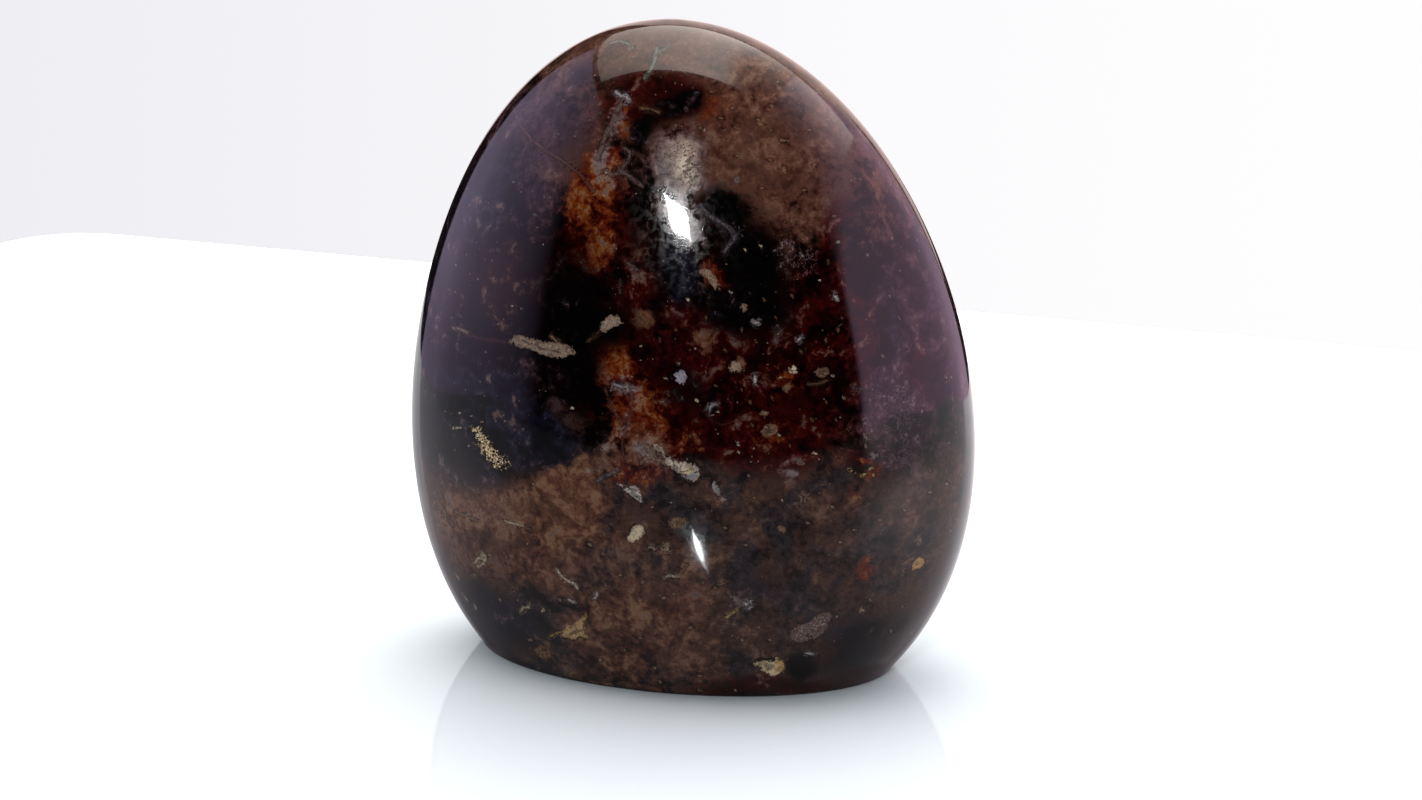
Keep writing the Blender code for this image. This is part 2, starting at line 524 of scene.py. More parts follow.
# Inclusions with an edge of their own: colour, then the corners of their outline.
INCLUSIONS = {
    "wedge": (
        (128, 110, 92),
        (506, 343), (512, 340), (514, 336), (522, 336), (531, 339), (543, 342), (554, 343), (564, 345),
        (578, 352), (571, 355), (565, 357), (559, 358), (552, 356), (540, 354), (532, 350), (518, 346),
    ),
    "kite": (BEIGE, (599, 329), (604, 320), (612, 315), (617, 316), (623, 322), (615, 326), (604, 332)),
    "diamond": (
        (146, 144, 156),
        (670, 377), (677, 373), (682, 369), (688, 373), (685, 381), (681, 386), (676, 380),
    ),
    "star": (
        BEIGE,
        (725, 367), (731, 365), (733, 360), (737, 363), (743, 362), (741, 368), (744, 372), (737, 370),
        (732, 373), (731, 369),
    ),
    "gold_grain": (CREAM, (789, 367), (794, 366), (798, 370), (795, 374), (790, 372)),
    "tan_grain": (SAND, (784, 385), (790, 383), (792, 389), (787, 393), (783, 390)),
    "ring": (SAND, (815, 372), (820, 367), (827, 368), (829, 374), (824, 377), (817, 377)),
    "orange_grain": (TAN, (759, 412), (764, 410), (769, 413), (764, 416)),
    "double_ring": (
        SAND,
        (761, 430), (766, 425), (774, 424), (779, 428), (777, 434), (769, 437), (763, 435),
    ),
    "heart_body": (
        (198, 184, 162),
        (652, 442), (656, 445), (661, 448), (666, 453), (671, 458), (678, 463), (686, 462), (694, 466),
        (700, 471), (698, 478), (693, 482), (686, 479), (680, 474), (674, 469), (668, 464), (664, 460),
        (667, 457), (661, 452), (655, 449),
    ),
    "heart_blue": (
        (122, 130, 146),
        (692, 472), (699, 470), (697, 477), (692, 481), (685, 478), (683, 475), (689, 476),
    ),
    "heart_spot": (
        (214, 196, 142),
        (684, 469), (687, 467), (691, 468), (692, 472), (689, 475), (685, 473),
    ),
    "second_vein": (
        (196, 188, 180),
        (617, 483), (622, 484), (627, 487), (632, 486), (637, 488), (640, 494), (643, 503), (639, 502),
        (634, 498), (629, 493), (624, 489),
    ),
    "third_vein": (
        (156, 154, 150),
        (711, 481), (716, 484), (719, 489), (719, 493), (715, 492), (712, 487),
    ),
    "third_vein_low": ((150, 132, 120), (719, 495), (724, 498), (728, 501), (726, 504), (721, 501)),
    "seed": (
        CREAM,
        (631, 534), (634, 526), (642, 525), (644, 530), (641, 535), (639, 539), (632, 542), (627, 539),
    ),
    "burst": (
        (172, 142, 98),
        (567, 622), (571, 629), (577, 622), (586, 615), (583, 623), (585, 634), (589, 639), (579, 636),
        (575, 641), (568, 637), (560, 637), (565, 630),
    ),
    "chip": (
        (224, 208, 164),
        (753, 663), (761, 667), (766, 673), (774, 676), (781, 673), (784, 665), (779, 660), (774, 662),
        (766, 661),
    ),
    "chip_end": (BUTTER, (776, 674), (781, 673), (785, 665), (780, 658), (775, 656), (776, 663)),
    "grey_patch": (
        SMOKE,
        (792, 631), (797, 626), (806, 624), (817, 616), (826, 612), (833, 616), (828, 622), (826, 631),
        (817, 638), (806, 641), (797, 643), (791, 639),
    ),
    "right_chip": (BUTTER, (919, 556), (925, 561), (922, 567), (914, 570), (911, 567)),
    "right_fleck": (BEIGE, (859, 608), (863, 606), (866, 611), (861, 614)),
    "high_fleck": (BEIGE, (688, 150), (693, 148), (695, 156), (690, 160)),
    "fringe": (
        TAN,
        (697, 272), (703, 269), (710, 270), (715, 277), (720, 285), (719, 292), (713, 286), (707, 277),
    ),
    "heel_dot": (TAN, (777, 530), (780, 526), (785, 528), (784, 533), (779, 533)),
    "centre_patch": (SAND, (668, 520), (676, 517), (687, 519), (684, 526), (676, 530), (670, 527)),
    "left_dot": (CREAM, (541, 609), (544, 608), (544, 612), (541, 612)),
    "tan_cluster": (TAN, (740, 306), (744, 303), (748, 306), (746, 311), (741, 310)),
    "low_left_patch": (SAND, (534, 650), (540, 645), (549, 650), (551, 657), (543, 659), (537, 655)),
    "dot_high": (SMOKE, (735, 177), (739, 177), (740, 182), (736, 183)),
}

# Small grains: colour, half length, half width, turn, then the points.
GRAINS = {
    "high_specks": (
        TAN, 2.1, 1.1, 10,
        (759, 120), (761, 125), (771, 130), (788, 141), (782, 140), (736, 127), (721, 118), (751, 97),
        (779, 72), (768, 68), (809, 130), (814, 165), (812, 174), (783, 168), (784, 172), (770, 160),
        (762, 188), (804, 190), (852, 180), (860, 179), (834, 216), (728, 52), (673, 70), (668, 138),
        (667, 156), (738, 156), (772, 106), (700, 128), (712, 92), (733, 108),
    ),
    "left_specks": (
        SMOKE, 2.0, 1.3, 0,
        (558, 134), (575, 136), (600, 113), (563, 100), (513, 182), (532, 191), (521, 192), (555, 173),
        (590, 120), (486, 352), (460, 316), (535, 215), (498, 250), (470, 205),
    ),
    "middle_specks": (
        CREAM, 1.5, 0.9, 20,
        (761, 246), (779, 334), (820, 280), (838, 242), (679, 362), (697, 401), (718, 412), (728, 399),
        (780, 377), (833, 376), (737, 442), (739, 453), (814, 453), (819, 459), (844, 398), (779, 435),
        (572, 408), (640, 346), (664, 378), (616, 249), (628, 389), (745, 250), (731, 292), (688, 300),
    ),
    "dim_specks": (
        (98, 70, 50), 2.0, 1.2, 60,
        (725, 350), (742, 330), (756, 342), (768, 352), (801, 352), (812, 345), (826, 340), (838, 330),
        (706, 372), (716, 386), (742, 390), (750, 402), (772, 398), (800, 410), (812, 420), (826, 402),
        (836, 420), (848, 430), (790, 446), (768, 452), (752, 425), (716, 430), (700, 422), (690, 436),
        (668, 395), (655, 402), (655, 425), (646, 380), (660, 340), (676, 330), (690, 350), (706, 318),
        (845, 270), (828, 262), (842, 318), (832, 352), (808, 306), (792, 296), (776, 318), (764, 300),
    ),
    "right_specks": (
        BEIGE, 1.8, 1.0, 70,
        (946, 377), (951, 377), (956, 432), (949, 443), (865, 434), (865, 438), (866, 443), (866, 447),
        (918, 537), (912, 632), (891, 631), (955, 323), (908, 352), (899, 318), (866, 319), (890, 296),
        (868, 256), (900, 270), (892, 238), (917, 240), (883, 356), (922, 412), (870, 400), (930, 470),
    ),
    "amber_bits": (BUTTER, 2.2, 1.4, 30, (868, 470), (873, 475), (872, 468), (862, 476), (850, 470)),
    "low_specks": (
        BEIGE, 1.9, 1.1, 20,
        (603, 554), (665, 553), (749, 476), (808, 523), (832, 507), (840, 542), (490, 555), (474, 575),
        (530, 640), (600, 660), (655, 668), (700, 676), (742, 640), (690, 628), (715, 588), (512, 588),
        (640, 638), (625, 650), (560, 600), (640, 600), (664, 598), (760, 560), (745, 545), (800, 560),
        (855, 530), (880, 520), (870, 600), (735, 690), (700, 690), (660, 682), (770, 640), (702, 548),
        (725, 528), (590, 545), (620, 575), (500, 600), (930, 492), (947, 484), (951, 531), (905, 510),
    ),
    "slits": (
        BLACK, 4.4, 0.9, 30,
        (672, 459), (677, 468), (668, 457), (690, 466), (681, 474), (660, 450), (634, 491), (628, 487),
        (638, 497), (526, 342), (541, 348), (557, 352),
    ),
    # Painted shade: black dots standing in for the shadow inside small pits.
    "shaded_pits": (
        BLACK, 1.3, 1.0, 0,
        (626, 424), (606, 479), (612, 476), (679, 368), (760, 664), (768, 669), (772, 665), (766, 665),
        (575, 632), (581, 630), (572, 634), (769, 430), (822, 372), (904, 455), (688, 160), (692, 168),
        (696, 176), (689, 182), (694, 190), (686, 172), (813, 642), (809, 637), (671, 380), (545, 650),
    ),
}

STRAY_FLECKS = ((460, 413), (471, 416), (454, 428), (460, 428), (482, 422), (469, 446))

# ------------------------------------------------------------------ laying the markings on the mesh

# Painted shadow along one side of an inclusion, as if it lay in a shallow pit: how far the outline is moved,
# in frame units.
INCLUSION_SHADOW_SHIFTS = {
    "wedge": (1.5, 3.0),
    "kite": (1.5, 2.5),
    "diamond": (-2.5, -1.5),
    "chip": (-3.0, -3.5),
    "seed": (-1.5, -2.0),
    "burst": (1.0, 2.0),
    "right_chip": (2.0, -1.5),
    "heart_spot": (2.0, -3.0),
    "second_vein": (-1.5, 1.5),
    "star": (1.0, 1.5),
    "grey_patch": (0.5, 1.5),
}

# The twelve kinds of field are stored as four colours, three kinds to a colour.
KINDS = tuple(FIELDS)
FIELD_SETS = ("fields_dark", "fields_brown", "fields_cool", "fields_fine")
STORED_AS = {"FLOAT": "value", "FLOAT_VECTOR": "vector", "FLOAT_COLOR": "color"}
FIELD_DEPTH = 0.022
MARK_DEPTH = 0.002
OUTLINE_DEPTH = 0.003
OUTLINE_REACH = 0.008
MOST_STRETCH = 1.7
FAR = 60.0
WANDERS = ((0.013, 0.0022), (0.0045, 0.0010))
WANDER_SEED = 499
GRAIN_SIZES = (0.7, 1.25)
GRAIN_TURN = 35
STRAY_HALVES = (0.9, 1.5)
STRAY_SLIMNESS = 0.8

# The marks drawn at random on the sides and back; the sizes are half lengths in mm.
BOX_HALVES = (HALF_WIDTH, HALF_WIDTH * DEPTH_SHARE, HEIGHT / 2)
LEAST_FACING = 0.05
LOWEST_MARK = 0.002
BACK_SEED = 11
BACK_FIELDS = 84
BACK_FIELD_SIZES = (3, 14)
BACK_FIELD_STRENGTHS = (0.7, 1.3)
BACK_INCLUSIONS = 34
BACK_INCLUSION_SIZES = (0.5, 2.8)
BACK_CORNERS = (5, 9)
BACK_CORNER_SWING = 0.3
BACK_CORNER_REACHES = (0.7, 1.25)
BACK_SHADOW_DROPS = (0.1, 0.4)
BACK_GRAINS = 170
BACK_GRAIN_SIZES = (0.18, 0.5)
BACK_VEINS = 26
BACK_VEIN_SIZES = (1.5, 5.0)
BACK_VEIN_HALVES = (0.1, 0.35)
BACK_VEIN_BOW = 0.5
BACK_KINDS = (
    "black", "black", "ember", "blood", "blood", "umber", "umber", "earth_and_table_sheen", "earth_and_table_sheen", "earth_and_table_sheen",
    "tan", "mist", "mauve", "mauve", "indigo", "indigo", "lace", "lace", "glare",
)
BACK_COLOURS = (BEIGE, TAN, SAND, SMOKE, BUTTER, CREAM, RUST, FROST, BLUE, MAUVE, ROSE)


def pigment(colour):
    """A 0-255 screen colour as the linear colour that a shader socket takes."""
    shades = [channel / 255 for channel in colour]
    linear = [s / 12.92 if s <= 0.04045 else ((s + 0.055) / 1.055) ** 2.4 for s in shades]
    return (*linear, 1.0)


class Patch:
    """An ellipse on the surface: its middle, its two half axes and the way out, in metres."""

    def __init__(self, middle, long_side, short_side, out):
        self.middle = np.array(middle)
        self.long_side = np.array(long_side)
        self.short_side = np.array(short_side)
        self.out = np.array(out)
        lengths = np.linalg.norm(self.long_side) * np.linalg.norm(self.short_side)
        self.size = math.sqrt(lengths) * MM

    def local(self, points, depth):
        """The points in the patch's own axes, where its edge is at distance 1."""
        axes = np.column_stack([self.long_side, self.short_side, self.out * depth])
        return (points - self.middle) @ np.linalg.inv(axes).T


def frame_unit(camera, place):
    """The real length that one unit of the camera's frame covers at this distance."""
    return (place - camera.location).length / (LENS / SENSOR * FRAME_WIDTH)


def seen_patch(stone, camera, x, y, long_half, short_half, turn):
    """The patch that is seen as this ellipse in the camera's frame."""
    spot = Spot(stone, camera, x, y)
    angle = math.radians(turn)
    long_way = (math.cos(angle), math.sin(angle))
    short_way = (-math.sin(angle), math.cos(angle))
    most = frame_unit(camera, spot.place) * MOST_STRETCH
    sides = []
    for (step_x, step_y), half in ((long_way, long_half), (short_way, short_half)):
        side = spot.on_plane(x + step_x, y + step_y) - spot.place
        sides.append(side.normalized() * min(side.length, most) * half)
    return Patch(spot.place, sides[0], sides[1], spot.out)


class Layer:
    """For each point of the mesh, its place in the nearest mark of one kind."""

    def __init__(self, points):
        self.points = points
        self.gap = np.full(len(points), FAR)
        self.place = np.full((len(points), 3), FAR)
        self.size = np.ones(len(points))
        self.colour = np.zeros((len(points), 4))

    def lay(self, gap, place, size, colour):
        nearer = gap < self.gap
        self.gap[nearer] = gap[nearer]
        self.place[nearer] = place[nearer]
        self.size[nearer] = size
        self.colour[nearer] = pigment(colour)

    def lay_patch(self, patch, colour):
        place = patch.local(self.points, patch.size / MM + MARK_DEPTH)
        reach = np.maximum(np.linalg.norm(place, axis=1), HAIR)
        distance = np.linalg.norm(self.points - patch.middle, axis=1) * MM
        self.lay(distance * (1 - 1 / reach), place, patch.size, colour)

    def lay_line(self, start, end, out, half, colour):
        """One stretch of a fine line; half is its half width in metres."""
        way = np.array(end) - np.array(start)
        length = np.linalg.norm(way)
        way = way / length
        side = np.cross(np.array(out), way)
        side /= np.linalg.norm(side)
        offset = self.points - np.array(start)
        along = offset @ way
        across = offset @ side
        beyond = np.maximum(np.maximum(-along, along - length), 0)
        height = offset @ np.array(out)
        place = np.column_stack([across / half, beyond / half, height / MARK_DEPTH])
        gap = (np.hypot(np.hypot(across, beyond), height) - half) * MM
        self.lay(gap, place, half * MM, colour)

    def store(self, mesh, name):
        store(mesh, name + "_place", "FLOAT_VECTOR", self.place)
        store(mesh, name + "_gap", "FLOAT", self.gap)
        store(mesh, name + "_size", "FLOAT", self.size)
        store(mesh, name + "_colour", "FLOAT_COLOR", self.colour)


class Outlines:
    """For each point of the mesh, how far it is outside the nearest outline, in millimetres."""

    def __init__(self, points):
        self.points = points
        self.gap = np.full(len(points), FAR)
        self.colour = np.zeros((len(points), 4))

    def lay(self, corners, out, colour):
        corners = np.array(corners)
        out = np.array(out)
        middle = corners.mean(axis=0)
        first = corners[0] - middle
        first -= out * (first @ out)
        first /= np.linalg.norm(first)
        axes = np.column_stack([first, np.cross(out, first)])
        offset = self.points - middle
        reach = np.linalg.norm(corners - middle, axis=1).max() + OUTLINE_REACH
        close = (np.abs(offset @ out) < OUTLINE_DEPTH) & (np.linalg.norm(offset, axis=1) < reach)
        chosen = np.flatnonzero(close)
        gap = outline_gap(offset[chosen] @ axes, (corners - middle) @ axes) * MM
        nearer = (gap < self.gap[chosen]) | (gap < 0)
        self.gap[chosen[nearer]] = gap[nearer]
        self.colour[chosen[nearer]] = pigment(colour)

    def store(self, mesh, name):
        store(mesh, name + "_gap", "FLOAT", self.gap)
        store(mesh, name + "_colour", "FLOAT_COLOR", self.colour)


def outline_gap(places, corners):
    """Distance from flat places to a closed outline, below 0 inside it."""
    distance = np.full(len(places), FAR)
    inside = np.zeros(len(places), bool)
    for start, end in zip(corners, np.roll(corners, -1, axis=0)):
        way = end - start
        share = np.clip(((places - start) @ way) / (way @ way), 0, 1)
        distance = np.minimum(distance, np.linalg.norm(places - start - share[:, None] * way, axis=1))
        spans = (start[1] > places[:, 1]) != (end[1] > places[:, 1])
        rise = way[1] or HAIR
        inside ^= spans & (places[:, 0] < start[0] + way[0] * (places[:, 1] - start[1]) / rise)
    return np.where(inside, -distance, distance)


def store(mesh, name, kind, values):
    attribute = mesh.attributes.new(name, kind, "POINT")
    attribute.data.foreach_set(STORED_AS[kind], np.ascontiguousarray(values, np.float32).ravel())


def mesh_points(mesh):
    points = np.empty(len(mesh.vertices) * 3)
    mesh.vertices.foreach_get("co", points)
    return points.reshape(-1, 3)


def wandered(points):
    """The points moved about by a soft noise, so that round fields get natural edges."""
    noise.seed_set(WANDER_SEED)
    moved = points.copy()
    for size, reach in WANDERS:
        moved += np.array([noise.noise_vector(Vector(point) / size) for point in points]) * reach
    return moved


class Hidden:
    """Places drawn at random on the sides and back, which the front view doesn't show."""

    def __init__(self, stone, camera):
        self.chance = random.Random(BACK_SEED)
        self.stone = stone
        self.front = (camera.location - MIDDLE).normalized()

    def place(self):
        """Points drawn in the stone's box are dropped on its skin until one lands out of sight."""
        while True:
            drawn = Vector([self.chance.uniform(-half, half) for half in BOX_HALVES])
            _, place, out, _ = self.stone.closest_point_on_mesh(MIDDLE + drawn)
            facing = Vector([way / half**2 for way, half in zip(place - MIDDLE, BOX_HALVES)])
            if facing.normalized().dot(self.front) < LEAST_FACING and place.z > LOWEST_MARK:
                return np.array(place), np.array(out)

    def patch(self, shortest, longest, slimmest=0.45):
        middle, out = self.place()
        guide = np.array([self.chance.uniform(-1, 1) for _ in range(3)])
        way = np.cross(out, guide)
        way /= np.linalg.norm(way)
        half = self.chance.uniform(shortest, longest) / MM
        slim = half * self.chance.uniform(slimmest, 1.0)
        return Patch(middle, way * half, np.cross(out, way) * slim, out)


def field_weights(points, stone, camera, hidden):
    places = wandered(points)
    weights = {kind: np.zeros(len(points)) for kind in KINDS}

    def add(kind, patch, strength):
        reach = np.linalg.norm(patch.local(places, FIELD_DEPTH), axis=1)
        weights[kind] += strength * np.exp2(-reach * reach)

    for kind, fields in FIELDS.items():
        for *seen, strength in fields.values():
            add(kind, seen_patch(stone, camera, *seen), strength)
    for kind, middle, size, strength in AROUND:
        reach = np.linalg.norm(places - np.array(middle) / MM, axis=1) * MM / size
        weights[kind] += strength * np.exp2(-reach * reach)
    for _ in range(BACK_FIELDS):
        kind = hidden.chance.choice(BACK_KINDS)
        patch = hidden.patch(*BACK_FIELD_SIZES)
        add(kind, patch, hidden.chance.uniform(*BACK_FIELD_STRENGTHS))
    return weights


def lay_inclusions(outlines, inclusion_shadows, stone, camera, hidden):
    for name, (colour, *corners) in INCLUSIONS.items():
        middle = [sum(values) / len(corners) for values in zip(*corners)]
        spot = Spot(stone, camera, *middle)
        outlines.lay([spot.on_plane(x, y) for x, y in corners], spot.out, colour)
        # Painted shadow: a dark copy of the outline, moved a little to one side.
        if name in INCLUSION_SHADOW_SHIFTS:
            right, down = INCLUSION_SHADOW_SHIFTS[name]
            moved = [spot.on_plane(x + right, y + down) for x, y in corners]
            inclusion_shadows.lay(moved, spot.out, BLACK)
    for _ in range(BACK_INCLUSIONS):
        patch = hidden.patch(*BACK_INCLUSION_SIZES, slimmest=0.35)
        count = hidden.chance.randint(*BACK_CORNERS)
        corners = []
        for step in range(count):
            swing = hidden.chance.uniform(-BACK_CORNER_SWING, BACK_CORNER_SWING)
            angle = (step + swing) * 2 * math.pi / count
            reach = hidden.chance.uniform(*BACK_CORNER_REACHES)
            side = patch.long_side * math.cos(angle) + patch.short_side * math.sin(angle)
            corners.append(patch.middle + side * reach)
        outlines.lay(corners, patch.out, hidden.chance.choice(BACK_COLOURS))
        # Painted shadow: the outline moved a little downwards and drawn dark.
        drop = np.array((0, 0, -hidden.chance.uniform(*BACK_SHADOW_DROPS) / MM))
        inclusion_shadows.lay([corner + drop for corner in corners], patch.out, BLACK)


def lay_grains(layer, stone, camera, hidden):
    chance = random.Random(BACK_SEED + 1)
    for colour, long_half, short_half, turn, *places in GRAINS.values():
        for x, y in places:
            size = chance.uniform(*GRAIN_SIZES)
            leaning = turn + chance.uniform(-GRAIN_TURN, GRAIN_TURN)
            patch = seen_patch(stone, camera, x, y, long_half * size, short_half * size, leaning)
            layer.lay_patch(patch, colour)
    for x, y in STRAY_FLECKS:
        half = chance.uniform(*STRAY_HALVES)
        layer.lay_patch(seen_patch(stone, camera, x, y, half, half * STRAY_SLIMNESS, 0), CREAM)
    for _ in range(BACK_GRAINS):
        patch = hidden.patch(*BACK_GRAIN_SIZES, slimmest=0.5)
        layer.lay_patch(patch, hidden.chance.choice(BACK_COLOURS))


def lay_veins(layer, stone, camera, hidden):
    for colour, half, *places in VEINS.values():
        spots = [Spot(stone, camera, x, y) for x, y in places]
        unit = frame_unit(camera, spots[0].place)
        for start, end in zip(spots, spots[1:]):
            out = (start.out + end.out).normalized()
            layer.lay_line(start.place, end.place, out, half * unit, colour)
    for _ in range(BACK_VEINS):
        patch = hidden.patch(*BACK_VEIN_SIZES)
        colour = hidden.chance.choice(BACK_COLOURS)
        half = hidden.chance.uniform(*BACK_VEIN_HALVES) / MM
        bow = hidden.chance.uniform(-BACK_VEIN_BOW, BACK_VEIN_BOW)
        middle = patch.middle + patch.short_side * bow
        start, end = patch.middle - patch.long_side, patch.middle + patch.long_side
        layer.lay_line(start, middle, patch.out, half, colour)
        layer.lay_line(middle, end, patch.out, half, colour)


def lay_markings(stone, camera):
    """Stores every field, vein, inclusion and grain on the stone's mesh."""
    mesh = stone.data
    points = mesh_points(mesh)
    hidden = Hidden(stone, camera)
    weights = field_weights(points, stone, camera, hidden)
    outlines, inclusion_shadows = Outlines(points), Outlines(points)
    grains, veins = Layer(points), Layer(points)
    lay_inclusions(outlines, inclusion_shadows, stone, camera, hidden)
    lay_grains(grains, stone, camera, hidden)
    lay_veins(veins, stone, camera, hidden)
    outlines.store(mesh, "inclusion")
    inclusion_shadows.store(mesh, "inclusion_shadow")
    grains.store(mesh, "grain")
    veins.store(mesh, "vein")
    for index, name in enumerate(FIELD_SETS):
        kinds = KINDS[index * 3 : index * 3 + 3]
        rows = np.column_stack([weights[kind] for kind in kinds] + [np.ones(len(points))])
        store(mesh, name, "FLOAT_COLOR", rows)
    return outlines


# ------------------------------------------------------------------ relief

WAVE_SIZE = 0.028
WAVE_HEIGHT = 0.00003
WAVE_START = 0.004
WAVE_RISE = 0.01
PIT_SIZE = 0.0012
PIT_DEPTH = 0.0004
PIT_REACH = 0.2
LEAST_WEIGHT = 0.01


def roughen(stone, group, texture_size, strength, weights):
    """Moves the surface in or out by a soft noise where the weights say, and applies it."""
    corners = stone.vertex_groups.new(name=group)
    for index in np.flatnonzero(weights > LEAST_WEIGHT):
        corners.add([int(index)], float(weights[index]), "REPLACE")
    clouds = bpy.data.textures.new(group, "CLOUDS")
    clouds.noise_scale = texture_size
    relief = stone.modifiers.new(group, "DISPLACE")
    relief.texture = clouds
    relief.texture_coords = "LOCAL"
    relief.vertex_group = group
    relief.mid_level = 0.5
    relief.strength = strength
    deselect()
    bpy.context.view_layer.objects.active = stone
    stone.select_set(True)
    bpy.ops.object.modifier_apply(modifier=relief.name)
    stone.vertex_groups.remove(stone.vertex_groups[group])


def wave_the_wall(stone):
    points = mesh_points(stone.data)
    weights = np.clip((points[:, 2] - WAVE_START) / WAVE_RISE, 0, 1)
    roughen(stone, "hand_polish", WAVE_SIZE, WAVE_HEIGHT, weights)


def pit_the_inclusions(stone, outlines):
    """Inclusions are softer than the opal, so the polish leaves them a little uneven."""
    roughen(stone, "soft_spots", PIT_SIZE, PIT_DEPTH, np.clip(PIT_REACH - outlines.gap, 0, 1))


# ------------------------------------------------------------------ wiring materials


class Wiring:
    """Adds nodes to one tree; each call gives back the output socket to use."""

    def __init__(self, tree):
        self.tree = tree

    def feed(self, socket, value):
        if isinstance(value, bpy.types.NodeSocket):
            self.tree.links.new(value, socket)
        elif value is not None:
            socket.default_value = value

    def feed_named(self, node, **values):
        """Feeds sockets by their names, with _ for a space."""
        for name, value in values.items():
            self.feed(node.inputs[name.replace("_", " ")], value)
        return node

    def node(self, kind, *values, **settings):
        node = self.tree.nodes.new(kind)
        for name, value in settings.items():
            setattr(node, name, value)
        for socket, value in zip(node.inputs, values):
            self.feed(socket, value)
        return node

    def math(self, operation, first, second=None):
        return self.node("ShaderNodeMath", first, second, operation=operation).outputs[0]

    def times(self, first, second):
        return self.math("MULTIPLY", first, second)

    def plus(self, first, second):
        return self.math("ADD", first, second)

    def less(self, first, second):
        return self.math("SUBTRACT", first, second)

    def swing(self, value, width):
        """A 0-1 value turned into a swing about 0, this wide from end to end."""
        return self.times(self.less(value, 0.5), width)

    def blend_by(self, first, first_share, second, second_share):
        return self.plus(self.times(first, first_share), self.times(second, second_share))

    def mix(self, share, first, second):
        node = self.node("ShaderNodeMix", data_type="RGBA")
        for index, value in ((0, share), (6, first), (7, second)):
            self.feed(node.inputs[index], value)
        return node.outputs[2]

    def between(self, share, first, second):
        node = self.node("ShaderNodeMix", data_type="FLOAT")
        for index, value in ((0, share), (2, first), (3, second)):
            self.feed(node.inputs[index], value)
        return node.outputs[0]

    def soften(self, value, low, high):
        """0 below low and 1 above high, with a smooth rise between; high may be under low."""
        rise = (0.0, 1.0) if low < high else (1.0, 0.0)
        node = self.node("ShaderNodeMapRange", value, min(low, high), max(low, high), *rise)
        node.interpolation_type = "SMOOTHSTEP"
        return node.outputs["Result"]

    def noise(self, vector, scale, detail=3.0, roughness=0.55, distortion=0.0, output="Fac"):
        node = self.feed_named(
            self.node("ShaderNodeTexNoise"),
            Vector=vector, Scale=scale, Detail=detail, Roughness=roughness, Distortion=distortion,
        )
        return node.outputs[output]

    def ramp(self, value, stops):
        node = self.node("ShaderNodeValToRGB", value)
        elements = node.color_ramp.elements
        while len(elements) < len(stops):
            elements.new(0.5)
        for element, (place, colour) in zip(elements, stops):
            element.position = place
            element.color = pigment(colour)
        return node.outputs["Color"]

    def stored(self, name, output):
        """What is stored on the mesh under this name."""
        node = self.node("ShaderNodeAttribute", attribute_name=name, attribute_type="GEOMETRY")
        return node.outputs[output]

    def parts(self, colour):
        return tuple(self.node("ShaderNodeSeparateColor", colour).outputs)

    def axes(self, vector):
        return tuple(self.node("ShaderNodeSeparateXYZ", vector).outputs)


def new_group(name, inputs, outputs):
    """An empty shader group with these named sockets: its wiring, its inputs and its output node."""
    group = bpy.data.node_groups.new(name, "ShaderNodeTree")
    for sockets, way in ((inputs, "INPUT"), (outputs, "OUTPUT")):
        for socket, kind in sockets.items():
            group.interface.new_socket(name=socket, in_out=way, socket_type="NodeSocket" + kind)
    w = Wiring(group)
    return group, w, w.node("NodeGroupInput").outputs, w.node("NodeGroupOutput")


# ------------------------------------------------------------------ the opal

# Noise scales, in waves to a millimetre.
CLOUD_SCALE = 0.05
DRIFT_SCALE = 0.055
PATCH_SCALE = 0.13
MOTTLE_SCALE = 0.22
SPECK_SCALE = 0.36
CURL_SCALE = 0.5
GRAIN_SCALE = 0.8
CRUMB_SCALE = 0.85
FINE_CURL_SCALE = 0.95
GOLD_SCALE = 1.9
DUST_SCALE = 2.6

DRIFT_REACH = 8.0
RAGGEDNESS = 2.6
GUARD = (0.8, 0.45)
RIM_PLACE = 0.1
RIM_WIDTH = 0.28
# Painted shade at the foot: the heights in mm where the darkening fades out and where it is full.
FOOT_SHADE = (0.8, 0.3)
POLISH_IOR = 1.40
POLISH_ROUGHNESS = 0.03
BODY_IOR = 1.28
BODY_ROUGHNESS = (0.05, 0.15)
INCLUSION_ROUGHNESS = 0.55
INCLUSION_POLISH = 0.7
PITTING_DEPTH = 0.00012

INCLUSION_SHADOW_INK = (6, 3, 3)
RIM_SHADE = (10, 5, 4)

# Shades along a noise, from its low places to its high ones.
GROUND = ((0.42, (2, 0, 0)), (0.50, (12, 0, 0)), (0.58, (26, 2, 1)), (0.68, (42, 8, 5)))
EARTH_AND_SHEEN_SHADES = ((0.40, (28, 15, 13)), (0.46, (52, 36, 31)), (0.53, (72, 52, 43)), (0.62, (108, 82, 64)))
GREYS = ((0.40, (15, 12, 15)), (0.46, (36, 31, 34)), (0.54, (54, 47, 48)), (0.63, (84, 74, 70)))
UMBERS = ((0.39, (38, 18, 12)), (0.46, (68, 41, 31)), (0.53, (90, 60, 47)), (0.63, (128, 96, 76)))
MAUVES = ((0.38, (22, 12, 18)), (0.50, (48, 30, 38)), (0.64, (84, 60, 68)))
INDIGOS = ((0.40, (6, 6, 10)), (0.50, (16, 17, 28)), (0.62, (38, 39, 58)))
BLOODS = ((0.40, (7, 0, 0)), (0.48, (32, 1, 1)), (0.56, (55, 6, 4)), (0.68, (84, 30, 15)))
EMBERS = ((0.41, (40, 3, 1)), (0.48, (74, 18, 6)), (0.55, (108, 50, 18)), (0.62, (160, 112, 60)))
TANS = ((0.40, (62, 35, 25)), (0.50, (104, 70, 51)), (0.62, (150, 116, 86)))
MISTS = ((0.40, (36, 23, 22)), (0.48, (78, 64, 62)), (0.55, (114, 101, 98)), (0.64, (164, 154, 148)))
